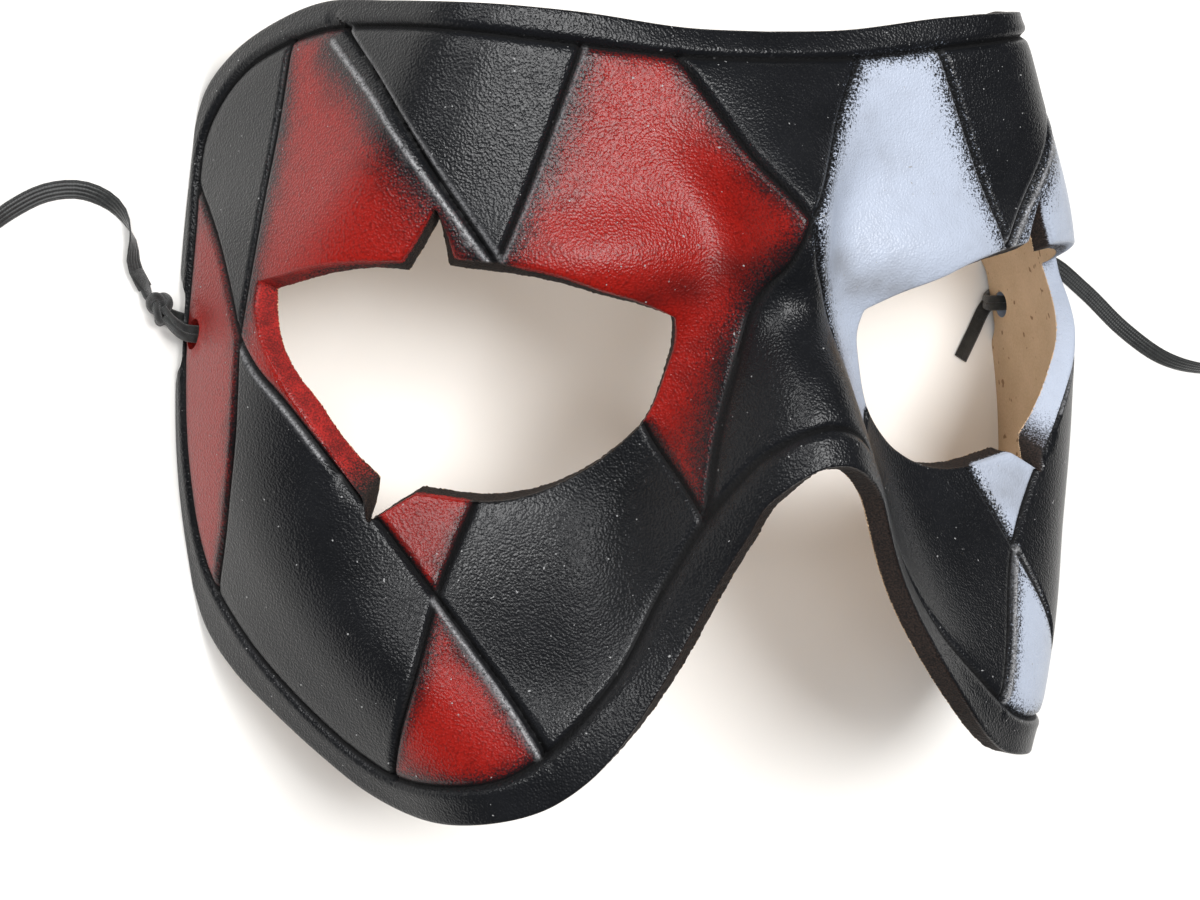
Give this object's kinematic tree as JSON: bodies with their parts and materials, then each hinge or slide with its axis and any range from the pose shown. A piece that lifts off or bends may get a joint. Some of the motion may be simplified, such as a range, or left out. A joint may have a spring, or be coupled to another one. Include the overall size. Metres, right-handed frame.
{
  "type": "half mask",
  "caption": "Moulded leather half mask in the harlequin manner, with notched eye-holes, tooled painted lozenges and a ribbon tie at each temple, lying face up.",
  "frame": {"origin": "under the middle of the mask, at the height of the surface that its temple edges rest on", "axes": "+X to the viewer's right across the face, +Y towards the forehead, +Z out of the face"},
  "size_m": [0.316, 0.1252, 0.0738],
  "materials": {
    "painted_leather": "black satin leather with red lozenges on the viewer's left half and pale lavender-white ones on the right, rubbed to black beside the tooled lines; undyed tan inside",
    "satin_ribbon": "dark grey woven satin ribbon"
  },
  "bodies": {
    "root": {"mask": "painted_leather", "knot_left": "satin_ribbon", "knot_right": "satin_ribbon", "tie_left": "satin_ribbon", "tie_right": "satin_ribbon", "coil_left": "satin_ribbon", "coil_right": "satin_ribbon"}
  },
  "joints": []
}
